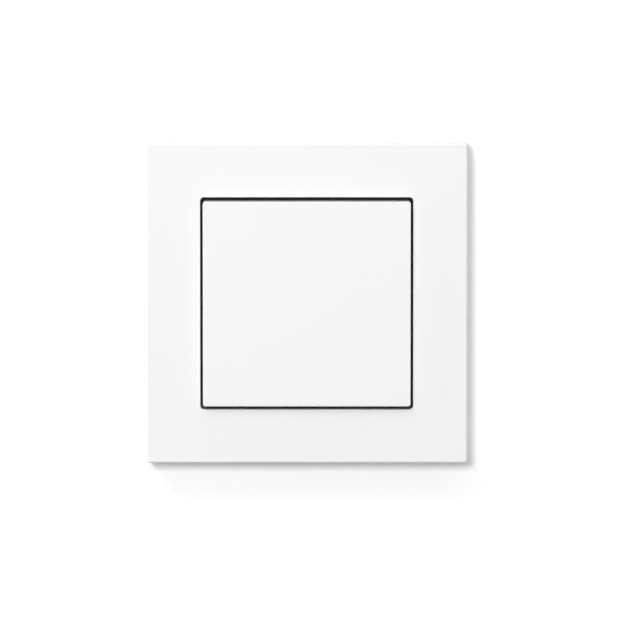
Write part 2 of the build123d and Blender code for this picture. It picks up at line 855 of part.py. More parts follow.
save(pole_plate(core_axis + holder_half_depth), "front_pole_plate")
save(pole_plate(core_axis - holder_half_depth - pole_thickness), "rear_pole_plate")

with BuildPart() as leaf_spring:
    with BuildSketch(level(core_axis - leaf_thickness / 2)):
        with Locations(((leaf_left + leaf_right) / 2, 0)):
            Rectangle(leaf_width, 2 * leaf_half_height)
    extrude(amount=leaf_thickness)
save(leaf_spring, "leaf_spring")

# Rocker: a flat face with a skirt all round, drafted above and below. Two open ears snap on the
# module's stub axles, four pushers stand on the bow's bars and four pads face the nipples.
with BuildPart() as rocker:
    with BuildSketch(side_on(rocker_x)):
        with BuildLine():
            Polyline(
                (rocker_front, rocker_z),
                (skirt_rear, rocker_z + skirt_draft),
                (skirt_rear, -rocker_z - skirt_draft),
                (rocker_front, -rocker_z),
                close=True,
            )
        make_face()
    extrude(amount=2 * rocker_x)
    corner_edges = rocker.edges().filter_by_position(
        Axis.Y, -rocker_front, -skirt_rear, inclusive=(False, False)
    )
    fillet(corner_edges, radius=rocker_corner)
    fillet(rocker.faces().sort_by(Axis.Y)[0].edges(), radius=rocker_edge)
    inner_x = rocker_x - rocker_wall
    inner_z = rocker_z - rocker_wall
    with BuildSketch(side_on(inner_x)):
        with BuildLine():
            Polyline(
                (rocker_inside, inner_z),
                (skirt_rear, inner_z + skirt_draft),
                (skirt_rear, -inner_z - skirt_draft),
                (rocker_inside, -inner_z),
                close=True,
            )
        make_face()
    extrude(amount=2 * inner_x, mode=Mode.SUBTRACT)
    for middle in (-(ear_inner_x + ear_outer_x) / 2, (ear_inner_x + ear_outer_x) / 2):
        with BuildSketch(side_on(middle)):
            with Locations((pivot, 0)):
                Circle(ear_radius)
            with Locations(((pivot + rocker_inside) / 2, 0)):
                Rectangle(rocker_inside - pivot, 2 * ear_radius)
            with Locations((pivot, 0)):
                Circle(axle_radius + axle_play, mode=Mode.SUBTRACT)
            with BuildLine():
                Polyline(
                    (pivot, ear_mouth / 2),
                    (pivot - ear_radius + ear_lead, ear_mouth / 2),
                    (pivot - ear_radius, ear_mouth / 2 + ear_lead),
                    (pivot - ear_radius, -ear_mouth / 2 - ear_lead),
                    (pivot - ear_radius + ear_lead, -ear_mouth / 2),
                    (pivot, -ear_mouth / 2),
                    close=True,
                )
            make_face(mode=Mode.SUBTRACT)
        extrude(amount=ear_thickness / 2, both=True)
    pusher_tip = arm_front + pusher_lash
    with BuildSketch(level(pusher_tip)):
        with GridLocations(2 * pusher_place, 2 * bar_z, 2, 2):
            Rectangle(pusher_width, pusher_thickness)
    extrude(amount=rocker_inside - pusher_tip)
    with BuildSketch(level(nipple_top + nipple_gap)):
        with GridLocations(2 * nipple_x, 2 * nipple_z, 2, 2):
            Rectangle(nipple_pad, nipple_pad)
    extrude(amount=rocker_inside - nipple_top - nipple_gap)
    with BuildSketch(level(rocker_inside - stiffener_height)):
        with GridLocations(0, 2 * (bar_z + stiffener_step), 1, 2):
            Rectangle(2 * inner_x, stiffener_thickness)
        with GridLocations(2 * (ear_outer_x + rocker_wall), 0, 2, 1):
            Rectangle(stiffener_thickness, 2 * (bar_z + stiffener_step))
    extrude(amount=stiffener_height)
save(rocker, "rocker")
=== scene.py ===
# Looks of the wireless light switch: a white rocker in a square white frame on a pale wall.
# Everything is in metres; mm turns the millimetres of the settings into them.

import bmesh
import bpy
from math import cos, pi, radians, sin
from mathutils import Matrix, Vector


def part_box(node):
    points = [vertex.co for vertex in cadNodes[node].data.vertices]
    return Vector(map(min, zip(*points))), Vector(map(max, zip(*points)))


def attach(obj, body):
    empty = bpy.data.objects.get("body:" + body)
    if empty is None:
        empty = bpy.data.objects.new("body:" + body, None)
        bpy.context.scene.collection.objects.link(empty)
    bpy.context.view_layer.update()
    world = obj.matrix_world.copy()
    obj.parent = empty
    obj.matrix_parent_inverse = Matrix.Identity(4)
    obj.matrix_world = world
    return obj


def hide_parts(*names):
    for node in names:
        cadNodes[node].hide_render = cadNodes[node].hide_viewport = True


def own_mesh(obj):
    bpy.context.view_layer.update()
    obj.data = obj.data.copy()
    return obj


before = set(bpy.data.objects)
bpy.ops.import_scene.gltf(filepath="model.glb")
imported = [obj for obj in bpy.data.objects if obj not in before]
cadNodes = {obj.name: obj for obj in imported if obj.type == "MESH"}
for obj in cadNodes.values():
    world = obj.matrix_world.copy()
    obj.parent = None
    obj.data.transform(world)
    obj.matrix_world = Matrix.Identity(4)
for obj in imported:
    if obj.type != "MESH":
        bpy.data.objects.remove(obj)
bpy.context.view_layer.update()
mm = 0.001
pureWhite = (1, 1, 1, 1)

scene = bpy.context.scene
scene.view_settings.view_transform = "Standard"


def linkObject(name, data):
    item = bpy.data.objects.new(name, data)
    scene.collection.objects.link(item)
    return item


def addNode(tree, kind, **settings):
    node = tree.nodes.new(kind)
    for name, value in settings.items():
        setattr(node, name, value)
    return node


def mathNode(tree, operation, a, b=None):
    # a Math node fed by sockets or numbers
    node = addNode(tree, "ShaderNodeMath", operation=operation)
    for socket, value in zip(node.inputs, (a, b)):
        if value is None:
            continue
        if isinstance(value, (int, float)):
            socket.default_value = value
        else:
            tree.links.new(value, socket)
    return node.outputs[0]


# Camera and wall

cameraSettings = {
    "elevation": 5,  # degrees above straight on
    "distance": 1.6,
    "viewWidth": 161.7 * mm,
    "aimRight": 0.46 * mm,  # the switch sits a little left of and above the picture's middle
    "aimDown": 1.28 * mm,
    "sensorWidth": 36,  # millimetres, as the camera's own settings have it
    "nearest": 0.01,
    "farthest": 20,
}


def makeCamera(s):
    data = bpy.data.cameras.new("photoCamera")
    data.sensor_width = s["sensorWidth"]
    data.lens = s["sensorWidth"] * s["distance"] / s["viewWidth"]
    data.clip_start = s["nearest"]
    data.clip_end = s["farthest"]
    camera = linkObject("photoCamera", data)
    tilt = radians(s["elevation"])
    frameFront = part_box("cover_frame")[0].y
    aim = Vector((s["aimRight"], frameFront, -s["aimDown"]))
    camera.location = aim + s["distance"] * Vector((0, -cos(tilt), sin(tilt)))
    camera.rotation_euler = (pi / 2 - tilt, 0, 0)
    scene.camera = camera


makeCamera(cameraSettings)

wallSettings = {
    "halfSize": 1.5,
    "setBack": 0.2 * mm,
    "color": (0.97, 0.97, 0.97, 1),
    "ownGlow": 0.2,  # brings the unshaded wall to plain white for the camera
}


def wallMaterial(s):
    material = bpy.data.materials.new("paleWall")
    material.use_nodes = True
    tree = material.node_tree
    tree.nodes.clear()
    out = addNode(tree, "ShaderNodeOutputMaterial")
    paint = addNode(tree, "ShaderNodeBsdfDiffuse")
    paint.inputs["Color"].default_value = s["color"]
    glow = addNode(tree, "ShaderNodeEmission")
    glow.inputs["Strength"].default_value = s["ownGlow"]
    both = addNode(tree, "ShaderNodeAddShader")
    clear = addNode(tree, "ShaderNodeBsdfTransparent")
    see = addNode(tree, "ShaderNodeMixShader")
    side = addNode(tree, "ShaderNodeNewGeometry")
    path = addNode(tree, "ShaderNodeLightPath")
    links = tree.links
    links.new(paint.outputs[0], both.inputs[0])
    links.new(glow.outputs[0], both.inputs[1])
    # unseen from behind, and it throws no light back on the switch
    hidden = mathNode(tree, "MAXIMUM", side.outputs["Backfacing"], path.outputs["Is Diffuse Ray"])
    links.new(hidden, see.inputs[0])
    links.new(both.outputs[0], see.inputs[1])
    links.new(clear.outputs[0], see.inputs[2])
    links.new(see.outputs[0], out.inputs["Surface"])
    return material


def makeWall(s):
    half, back = s["halfSize"], s["setBack"]
    mesh = bpy.data.meshes.new("wall")
    corners = [(-half, back, -half), (half, back, -half), (half, back, half), (-half, back, half)]
    mesh.from_pydata(corners, [], [(0, 1, 2, 3)])
    wall = linkObject("wall", mesh)
    wall.data.materials.append(wallMaterial(s))
    wall.visible_shadow = False  # light reaches the switch's rear in views from behind


makeWall(wallSettings)
print("camera and wall made")

# Light

lightSettings = {
    "roomAbove": 0.56,  # the white room is brighter towards its ceiling
    "roomBelow": 0.1,
    "roomBehind": 0.3,  # what is left of the room's light from behind the wall
    "roomBlend": 0.05,  # how gently the room changes from before to behind the wall
    "keyShare": 0.51,
    "keyDistance": 0.9,
    "keyAcross": -6.8,  # degrees to the left
    "keyUp": 9.3,  # degrees above
    "keySize": 0.135,
    "ceilingShare": 0.21,  # a second lamp higher up shades the frame just below the rocker
    "ceilingDistance": 1.0,
    "ceilingAcross": -28,
    "ceilingUp": 41,
    "ceilingSize": 0.35,
    "sideDistance": 1.2,
    "sideForward": 0.05,
    "sideSize": 0.5,
    "leftShare": 0.25,
    "rightShare": 0.19,
    "upperShare": 0.1,
    "rearShare": 0.75,  # for views from behind
}


def makeRoom(s):
    world = bpy.data.worlds.new("studio")
    scene.world = world
    world.use_nodes = True
    tree = world.node_tree
    tree.nodes.clear()
    links = tree.links
    out = addNode(tree, "ShaderNodeOutputWorld")
    direction = addNode(tree, "ShaderNodeTexCoord")
    parts = addNode(tree, "ShaderNodeSeparateXYZ")
    links.new(direction.outputs["Generated"], parts.inputs[0])
    height = addNode(tree, "ShaderNodeMapRange")
    behind = addNode(tree, "ShaderNodeMapRange")
    ranges = (
        (height, "Z", 1, s["roomBelow"], s["roomAbove"]),
        (behind, "Y", s["roomBlend"], 1, s["roomBehind"]),
    )
    for node, axis, reach, low, high in ranges:
        links.new(parts.outputs[axis], node.inputs["Value"])
        node.inputs["From Min"].default_value = -reach
        node.inputs["From Max"].default_value = reach
        node.inputs["To Min"].default_value = low
        node.inputs["To Max"].default_value = high
    strength = mathNode(tree, "MULTIPLY", height.outputs["Result"], behind.outputs["Result"])
    room = addNode(tree, "ShaderNodeBackground")
    links.new(strength, room.inputs["Strength"])
    backdrop = addNode(tree, "ShaderNodeBackground")
    for background in (room, backdrop):
        background.inputs["Color"].default_value = pureWhite
    # the camera, mirror images and clear parts see the plain backdrop
    choose = addNode(tree, "ShaderNodeMixShader")
    path = addNode(tree, "ShaderNodeLightPath").outputs
    looked = mathNode(tree, "MAXIMUM", path["Is Camera Ray"], path["Is Glossy Ray"])
    seen = mathNode(tree, "MAXIMUM", looked, path["Is Transmission Ray"])
    links.new(seen, choose.inputs[0])
    links.new(room.outputs[0], choose.inputs[1])
    links.new(backdrop.outputs[0], choose.inputs[2])
    links.new(choose.outputs[0], out.inputs["Surface"])


def softLamp(name, place, size, share, inGloss=False):
    # a square lamp aimed at the switch; share is what it adds on a surface that faces it
    lamp = bpy.data.lights.new(name, "AREA")
    lamp.shape = "SQUARE"
    lamp.size = size
    lamp.energy = share * pi**2 * place.length_squared
    holder = linkObject(name, lamp)
    holder.location = place
    holder.rotation_euler = place.to_track_quat("Z", "Y").to_euler()
    holder.visible_glossy = inGloss


def makeLamps(s):
    for name in ("key", "ceiling"):
        across, up = radians(s[name + "Across"]), radians(s[name + "Up"])
        towards = Vector((sin(across) * cos(up), -cos(across) * cos(up), sin(up)))
        softLamp(name + "Lamp", s[name + "Distance"] * towards, s[name + "Size"], s[name + "Share"])
    far, forward = s["sideDistance"], -s["sideForward"]
    softLamp("leftLamp", Vector((-far, forward, 0)), s["sideSize"], s["leftShare"], inGloss=True)
    softLamp("rightLamp", Vector((far, forward, 0)), s["sideSize"], s["rightShare"], inGloss=True)
    softLamp("upperLamp", Vector((0, forward, far)), s["sideSize"], s["upperShare"])
    softLamp("rearLamp", Vector((0, far, 0)), s["sideSize"], s["rearShare"])


makeRoom(lightSettings)
makeLamps(lightSettings)
print("light made")

# Shared surface effects: a fine grain and a slow drift of tone

grainSettings = {"scale": 3000, "depth": 0.1, "detail": 2, "height": 0.02 * mm}
driftSettings = {"scale": 60, "detail": 3, "roughLow": 0.3, "roughHigh": 0.4}


def newGroup(name, inputs, outputs):
    group = bpy.data.node_groups.new(name, "ShaderNodeTree")
    for label, kind, value in inputs:
        socket = group.interface.new_socket(label, in_out="INPUT", socket_type=kind)
        socket.default_value = value
    for label, kind in outputs:
        group.interface.new_socket(label, in_out="OUTPUT", socket_type=kind)
    return group, addNode(group, "NodeGroupInput"), addNode(group, "NodeGroupOutput")


def mouldGrainGroup(s):
    # fine texture of a mould's surface, as a normal
    group, given, put = newGroup(
        "mouldGrain",
        [("Scale", "NodeSocketFloat", s["scale"]), ("Depth", "NodeSocketFloat", s["depth"])],
        [("Normal", "NodeSocketVector")],
    )
    place = addNode(group, "ShaderNodeTexCoord")
    noise = addNode(group, "ShaderNodeTexNoise")
    noise.inputs["Detail"].default_value = s["detail"]
    bump = addNode(group, "ShaderNodeBump")
    bump.inputs["Distance"].default_value = s["height"]
    links = group.links
    links.new(place.outputs["Object"], noise.inputs["Vector"])
    links.new(given.outputs["Scale"], noise.inputs["Scale"])
    links.new(noise.outputs["Fac"], bump.inputs["Height"])
    links.new(given.outputs["Depth"], bump.inputs["Strength"])
    links.new(bump.outputs["Normal"], put.inputs["Normal"])
    return group


def toneDriftGroup(s):
    # slow change of colour and roughness over a piece
    group, given, put = newGroup(
        "toneDrift",
        [
            ("Scale", "NodeSocketFloat", s["scale"]),
            ("Color A", "NodeSocketColor", pureWhite),
            ("Color B", "NodeSocketColor", pureWhite),
            ("Low", "NodeSocketFloat", s["roughLow"]),
            ("High", "NodeSocketFloat", s["roughHigh"]),
        ],
        [("Color", "NodeSocketColor"), ("Roughness", "NodeSocketFloat")],
    )
    place = addNode(group, "ShaderNodeTexCoord")
    noise = addNode(group, "ShaderNodeTexNoise")
    noise.inputs["Detail"].default_value = s["detail"]
    mix = addNode(group, "ShaderNodeMix", data_type="RGBA")
    spread = addNode(group, "ShaderNodeMapRange")
    links = group.links
    links.new(place.outputs["Object"], noise.inputs["Vector"])
    links.new(given.outputs["Scale"], noise.inputs["Scale"])
    links.new(noise.outputs["Fac"], mix.inputs["Factor"])
    links.new(given.outputs["Color A"], mix.inputs["A"])
    links.new(given.outputs["Color B"], mix.inputs["B"])
    links.new(noise.outputs["Fac"], spread.inputs["Value"])
    links.new(given.outputs["Low"], spread.inputs["To Min"])
    links.new(given.outputs["High"], spread.inputs["To Max"])
    links.new(mix.outputs["Result"], put.inputs["Color"])
    links.new(spread.outputs["Result"], put.inputs["Roughness"])
    return group


grainGroup = mouldGrainGroup(grainSettings)
driftGroup = toneDriftGroup(driftSettings)
coatRoughness = 0.06
usualSpecular = 0.5


def finishMaterial(name, s):
    # a finish with slow colour drift and fine grain; s holds its own values
    material = bpy.data.materials.new(name)
    material.use_nodes = True
    tree = material.node_tree
    shader = tree.nodes["Principled BSDF"]
    drift = addNode(tree, "ShaderNodeGroup", node_tree=driftGroup)
    drift.inputs["Scale"].default_value = s.get("driftScale", driftSettings["scale"])
    drift.inputs["Color A"].default_value = (*s["color"], 1)
    drift.inputs["Color B"].default_value = (*s["colorB"], 1)
    drift.inputs["Low"].default_value = s["roughLow"]
    drift.inputs["High"].default_value = s["roughHigh"]
    grain = addNode(tree, "ShaderNodeGroup", node_tree=grainGroup)
    grain.inputs["Scale"].default_value = s.get("grainScale", grainSettings["scale"])
    grain.inputs["Depth"].default_value = s.get("grainDepth", grainSettings["depth"])
    shader.inputs["Metallic"].default_value = s.get("metallic", 0)
    shader.inputs["Specular IOR Level"].default_value = s.get("specular", usualSpecular)
    shader.inputs["Coat Roughness"].default_value = coatRoughness
    shader.inputs["Coat Weight"].default_value = s.get("coat", 0)
    links = tree.links
    links.new(drift.outputs["Color"], shader.inputs["Base Color"])
    links.new(drift.outputs["Roughness"], shader.inputs["Roughness"])
    links.new(grain.outputs["Normal"], shader.inputs["Normal"])
    return material


finishes = {
    "frameWhite": dict(
        color=(0.9, 0.9, 0.9), colorB=(0.904, 0.904, 0.904),
        roughLow=0.18, roughHigh=0.26, driftScale=25, grainScale=2500, grainDepth=0.05, coat=0.4,
    ),
    "rockerWhite": dict(
        color=(0.9, 0.9, 0.9), colorB=(0.904, 0.904, 0.904),
        roughLow=0.2, roughHigh=0.28, driftScale=25, grainScale=2500, grainDepth=0.05, coat=0.4,
    ),
    "plateAnthracite": dict(
        color=(0.045, 0.046, 0.05), colorB=(0.06, 0.061, 0.065),
        roughLow=0.42, roughHigh=0.55, grainScale=1800, grainDepth=0.5,
    ),
    # black plastic, darker than the plate's anthracite so that it also paints shade into the gap
    # round the rocker
    "carrierAnthracite": dict(
        color=(0.022, 0.022, 0.024), colorB=(0.03, 0.03, 0.033),
        roughLow=0.4, roughHigh=0.52, grainScale=1800, grainDepth=0.4,
    ),
    "moduleGrey": dict(
        color=(0.5, 0.51, 0.52), colorB=(0.56, 0.57, 0.58),
        roughLow=0.38, roughHigh=0.5, grainScale=2200, grainDepth=0.35,
    ),
    "bowBlack": dict(
        color=(0.03, 0.03, 0.032), colorB=(0.05, 0.05, 0.052),
        roughLow=0.35, roughHigh=0.55, grainScale=2600, grainDepth=0.5,
    ),
    "boardGreen": dict(
        color=(0.012, 0.11, 0.05), colorB=(0.018, 0.15, 0.07),
        roughLow=0.22, roughHigh=0.32, driftScale=500, grainScale=900, grainDepth=0.3,
    ),
    "epoxyBlack": dict(
        color=(0.02, 0.02, 0.022), colorB=(0.035, 0.035, 0.037),
        roughLow=0.45, roughHigh=0.6, grainScale=6000, grainDepth=0.6,
    ),
    "canMetal": dict(
        color=(0.62, 0.62, 0.63), colorB=(0.7, 0.7, 0.71),
        roughLow=0.2, roughHigh=0.32, metallic=1,
    ),
    "capacitorCeramic": dict(
        color=(0.42, 0.3, 0.19), colorB=(0.5, 0.37, 0.24),
        roughLow=0.45, roughHigh=0.6, grainScale=5000, grainDepth=0.3,
    ),
    "copperWire": dict(
        color=(0.62, 0.27, 0.11), colorB=(0.72, 0.36, 0.17),
        roughLow=0.22, roughHigh=0.34, metallic=1,
    ),
    "coreSteel": dict(
        color=(0.42, 0.42, 0.44), colorB=(0.5, 0.5, 0.52),
        roughLow=0.3, roughHigh=0.45, metallic=1, grainScale=1500, grainDepth=0.4,
    ),
    "springSteel": dict(
        color=(0.6, 0.6, 0.62), colorB=(0.68, 0.68, 0.7),
        roughLow=0.18, roughHigh=0.28, metallic=1,
    ),
    "pinTin": dict(
        color=(0.66, 0.63, 0.55), colorB=(0.75, 0.72, 0.64),
        roughLow=0.25, roughHigh=0.35, metallic=1,
    ),
    "bobbinBlack": dict(
        color=(0.05, 0.05, 0.055), colorB=(0.07, 0.07, 0.075),
        roughLow=0.35, roughHigh=0.5,
    ),
    "holderAcetal": dict(
        color=(0.76, 0.75, 0.7), colorB=(0.82, 0.81, 0.77),
        roughLow=0.3, roughHigh=0.42,
    ),
    "magnetNickel": dict(
        color=(0.68, 0.67, 0.64), colorB=(0.76, 0.75, 0.72),
        roughLow=0.12, roughHigh=0.22, metallic=1,
    ),
    "matRubber": dict(
        color=(0.2, 0.21, 0.22), colorB=(0.25, 0.26, 0.27),
        roughLow=0.6, roughHigh=0.75, grainScale=4000, grainDepth=0.4, specular=0.3,
    ),
    "padFoam": dict(
        color=(0.74, 0.74, 0.71), colorB=(0.82, 0.82, 0.79),
        roughLow=0.8, roughHigh=0.95, driftScale=300, specular=0.2,
    ),
}
finishes["diodeEpoxy"] = finishes["epoxyBlack"]  # the same, and gets plated ends
materials = {name: finishMaterial(name, values) for name, values in finishes.items()}


def paintOver(tree, mask, color):
    # lays another colour over a finish where the mask is 1
    base = tree.nodes["Principled BSDF"].inputs["Base Color"]
    finishColor = base.links[0].from_socket
    mix = addNode(tree, "ShaderNodeMix", data_type="RGBA")
    mix.inputs["B"].default_value = color
    tree.links.new(mask, mix.inputs["Factor"])
    tree.links.new(finishColor, mix.inputs["A"])
    tree.links.new(mix.outputs["Result"], base)


foamSettings = {"cellsPerMetre": 2600, "cellStrength": 0.5, "cellHeight": 0.05 * mm}


def addCells(material, s):
    # closed cells of foam
    tree = material.node_tree
    place = addNode(tree, "ShaderNodeTexCoord")
    cells = addNode(tree, "ShaderNodeTexVoronoi")
    cells.inputs["Scale"].default_value = s["cellsPerMetre"]
    bump = addNode(tree, "ShaderNodeBump")
    bump.inputs["Strength"].default_value = s["cellStrength"]
    bump.inputs["Distance"].default_value = s["cellHeight"]
    tree.links.new(place.outputs["Object"], cells.inputs["Vector"])
    tree.links.new(cells.outputs["Distance"], bump.inputs["Height"])
    tree.links.new(bump.outputs["Normal"], tree.nodes["Principled BSDF"].inputs["Normal"])


trackSettings = {
    "pitch": 0.8 * mm,
    "width": 0.3 * mm,
    "jogsPerMetre": 260,
    "jogStep": 0.125,  # share of the longest jog
    "jogReach": 4,  # longest jog, in pitches
    "patchesPerMetre": 110,
    "patchLevel": 0.47,  # a higher level leaves fewer patches of tracks
    "color": (0.03, 0.19, 0.085, 1),
    "height": 0.03 * mm,
}


def addTracks(material, s):
    # tracks under green lacquer: parallel lines with jogs, in patches
    tree = material.node_tree
    links = tree.links
    place = addNode(tree, "ShaderNodeTexCoord")
    axes = addNode(tree, "ShaderNodeSeparateXYZ")
    jogs = addNode(tree, "ShaderNodeTexNoise", noise_dimensions="1D")
    jogs.inputs["Scale"].default_value = 1
    jogs.inputs["Detail"].default_value = 0
    patches = addNode(tree, "ShaderNodeTexNoise")
    patches.inputs["Scale"].default_value = s["patchesPerMetre"]
    patches.inputs["Detail"].default_value = 0
    links.new(place.outputs["Object"], axes.inputs["Vector"])
    links.new(place.outputs["Object"], patches.inputs["Vector"])
    links.new(mathNode(tree, "MULTIPLY", axes.outputs["X"], s["jogsPerMetre"]), jogs.inputs["W"])
    stepped = mathNode(tree, "SNAP", jogs.outputs["Fac"], s["jogStep"])
    jog = mathNode(tree, "MULTIPLY", stepped, s["pitch"] * s["jogReach"])
    line = mathNode(tree, "PINGPONG", mathNode(tree, "ADD", axes.outputs["Z"], jog), s["pitch"] / 2)
    onLine = mathNode(tree, "LESS_THAN", line, s["width"] / 2)
    inPatch = mathNode(tree, "GREATER_THAN", patches.outputs["Fac"], s["patchLevel"])
    tracks = mathNode(tree, "MULTIPLY", onLine, inPatch)
    paintOver(tree, tracks, s["color"])
    bump = addNode(tree, "ShaderNodeBump")
    bump.inputs["Distance"].default_value = s["height"]
    links.new(tracks, bump.inputs["Height"])
    links.new(bump.outputs["Normal"], tree.nodes["Principled BSDF"].inputs["Normal"])


capSettings = {
    "color": (0.7, 0.69, 0.66, 1),
    "share": 0.17,  # of the part's width, at each end
}


def addCaps(material, node, s):
    # plated caps at the left and right ends of a node's box
    tree = material.node_tree
    low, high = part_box(node)
    width = high.x - low.x
    place = addNode(tree, "ShaderNodeTexCoord")
    axes = addNode(tree, "ShaderNodeSeparateXYZ")
    tree.links.new(place.outputs["Object"], axes.inputs["Vector"])
    offset = mathNode(tree, "SUBTRACT", axes.outputs["X"], (low.x + high.x) / 2)
    fromMiddle = mathNode(tree, "ABSOLUTE", offset)
    onCap = mathNode(tree, "GREATER_THAN", fromMiddle, width * (0.5 - s["share"]))
    paintOver(tree, onCap, s["color"])
    tree.links.new(onCap, tree.nodes["Principled BSDF"].inputs["Metallic"])


addCells(materials["padFoam"], foamSettings)
addTracks(materials["boardGreen"], trackSettings)
addCaps(materials["capacitorCeramic"], "storage_capacitors", capSettings)
addCaps(materials["diodeEpoxy"], "rectifier_diodes", capSettings)
print(len(materials), "finishes made")

# CAD nodes that keep their own shape

nodeFinishes = {
    "circuit_board": "boardGreen",
    "coil_terminals": "pinTin",
    "leaf_spring": "springSteel",
}
for nodeName, finish in nodeFinishes.items():
    slots = cadNodes[nodeName].data.materials
    slots.clear()
    slots.append(materials[finish])
print(len(nodeFinishes), "nodes dressed")

# Shared steps for new pieces

newPieceAngle = radians(40)  # edges sharper than this stay crisp


def dressed(piece, finish, sharpAngle):
    # smooth shading with crisp edges, and one finish
    mesh = piece.data
    mesh.polygons.foreach_set("use_smooth", [True] * len(mesh.polygons))
    mesh.set_sharp_from_angle(angle=sharpAngle)
    mesh.materials.clear()
    mesh.materials.append(materials[finish])
    return piece


def meshPiece(name, work, finish):
    # turns a bmesh into a piece
    bmesh.ops.recalc_face_normals(work, faces=work.faces)
    mesh = bpy.data.meshes.new(name)
    work.to_mesh(mesh)
    work.free()
    return dressed(linkObject(name, mesh), finish, newPieceAngle)


def skinOver(work, rings):
    # a closed surface over rings of points in order
    for first, second in zip(rings, rings[1:]):
        for i in range(len(first)):
            j = (i + 1) % len(first)
            work.faces.new((first[i], first[j], second[j], second[i]))
    work.faces.new(rings[0][::-1])
    work.faces.new(rings[-1])


def standFor(piece, body, *nodes):
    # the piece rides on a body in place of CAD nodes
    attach(piece, body)
    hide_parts(*nodes)


# Pieces with softened edges, made from merged copies of their nodes

softEdges = {
    # piece: (node, width of the soft edge, steps across it, body, finish)
    "frameMoulding": ("cover_frame", 0.12 * mm, 2, "housing", "frameWhite"),
    "rockerMoulding": ("rocker", 0.1 * mm, 2, "rocker_body", "rockerWhite"),
    "plateMoulding": ("mounting_plate", 0.15 * mm, 2, "housing", "plateAnthracite"),
    # the carrier's finish is darker than the plate's: painted shade in the gap round the rocker
    "carrierMoulding": ("module_carrier", 0.12 * mm, 2, "housing", "carrierAnthracite"),
    "baseMoulding": ("module_base", 0.08 * mm, 2, "housing", "moduleGrey"),
    "coverMoulding": ("module_cover", 0.08 * mm, 2, "housing", "moduleGrey"),
    "bowMoulding": ("energy_bow", 0.08 * mm, 2, "bow_body", "bowBlack"),
    "holderMoulding": ("armature_holder", 0.06 * mm, 2, "armature_body", "holderAcetal"),
    "chipBody": ("radio_chip", 0.06 * mm, 2, "housing", "epoxyBlack"),
    "crystalCan": ("crystal", 0.15 * mm, 3, "housing", "canMetal"),
    "capacitorBodies": ("storage_capacitors", 0.12 * mm, 2, "housing", "capacitorCeramic"),
    "diodeBodies": ("rectifier_diodes", 0.1 * mm, 2, "housing", "diodeEpoxy"),
    "bobbinMoulding": ("coil_bobbin", 0.06 * mm, 2, "housing", "bobbinBlack"),
    "coreStack": ("generator_core", 0.05 * mm, 2, "housing", "coreSteel"),
    "magnetBlock": ("magnet", 0.12 * mm, 2, "armature_body", "magnetNickel"),
    "frontPole": ("front_pole_plate", 0.05 * mm, 2, "armature_body", "coreSteel"),
    "rearPole": ("rear_pole_plate", 0.05 * mm, 2, "armature_body", "coreSteel"),
}
copySettings = {
    "mergeDistance": 0.001 * mm,
    "flatAngle": radians(0.5),  # faces this close to one plane become one
    "sharpAngle": radians(25),
    "bevelAngle": radians(30),
}


def softenedCopy(name, node, width, steps, body, finish, s):
    mesh = cadNodes[node].data.copy()
    mesh.name = name
    work = bmesh.new()
    work.from_mesh(mesh)
    bmesh.ops.remove_doubles(work, verts=work.verts, dist=s["mergeDistance"])
    bmesh.ops.dissolve_limit(work, angle_limit=s["flatAngle"], verts=work.verts, edges=work.edges)
    work.to_mesh(mesh)
    work.free()
    piece = dressed(linkObject(name, mesh), finish, s["sharpAngle"])
    bevel = piece.modifiers.new("softEdges", "BEVEL")
    bevel.width = width
    bevel.segments = steps
    bevel.limit_method = "ANGLE"
    bevel.angle_limit = s["bevelAngle"]
    weigh = piece.modifiers.new("faceNormals", "WEIGHTED_NORMAL")
    weigh.keep_sharp = True
    standFor(piece, body, node)


for pieceName, row in softEdges.items():
    softenedCopy(pieceName, *row, copySettings)
print(len(softEdges), "softened copies made")

# Foam pads behind the wall plate

padSettings = {
    "size": 16 * mm,
    "corner": 1.0 * mm,
    "cornerSteps": 6,
    "sideBow": 0.12 * mm,  # how far the middle of a side pulls in
    "skin": 0.07 * mm,  # adhesive film on both faces
    "skinEdge": 0.04 * mm,  # rounding of a film's outer edge
    "skinStep": 0.06 * mm,  # how far the foam starts inside its films
    "waist": 0.22 * mm,  # how far the foam pulls in between its films
    "foamLevels": (0.25, 0.5, 0.75),  # shares of the thickness where the foam gets a ring
}


def padOutline(s, inset):
    # a square with round corners whose sides pull in a little
    half, corner, steps = s["size"] / 2 - inset, s["corner"], s["cornerSteps"]
    points = []
    for turn in range(4):
        quarter = turn * pi / 2
        across, up = cos(quarter), sin(quarter)
        for step in range(steps + 1):
            angle = quarter + pi / 2 * step / steps
            x = (half - corner) * (across - up) + corner * cos(angle)
            z = (half - corner) * (across + up) + corner * sin(angle)
            points.append((x, z))
        middle = half - s["sideBow"]
        points.append((-middle * up, middle * across))
    return points


def makePads(s):
    low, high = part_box("adhesive_pads")
    thickness = high.y - low.y
    place = high.x - s["size"] / 2
    work = bmesh.new()
    edge, step = s["skinEdge"], s["skinStep"]
    film = [(0, edge), (edge / 2, 0), (s["skin"], 0), (s["skin"], step)]
    # the foam pulls in most in the middle of its thickness
    foam = [(thickness * t, s["waist"] * 4 * t * (1 - t) + step) for t in s["foamLevels"]]
    layers = film + foam + [(thickness - depth, inset) for depth, inset in reversed(film)]
    for x in (-place, place):
        for z in (-place, place):
            rings = []
            for depth, inset in layers:
                outline = padOutline(s, inset)
                rings.append([work.verts.new((x + px, -depth, z + pz)) for px, pz in outline])
            skinOver(work, rings)
    pads = meshPiece("foamPads", work, "padFoam")
    standFor(pads, "housing", "adhesive_pads")


makePads(padSettings)
print("foam pads made")

# Rubber mats on the board, with rounded nipples that press the contacts

matSettings = {
    "sheet": 0.5 * mm,
    "nippleRadius": 1.3 * mm,
    "margin": 0.6 * mm,
    "flare": 0.35 * mm,  # round foot of a nipple on the sheet
    "dome": 0.6 * mm,
    "rim": 0.12 * mm,
    "cornerSteps": 5,
    "sides": 32,
    "roundSteps": 6,
    "keepWhenPressed": 0.72,  # share of its height that is left at the rocker's limit
}


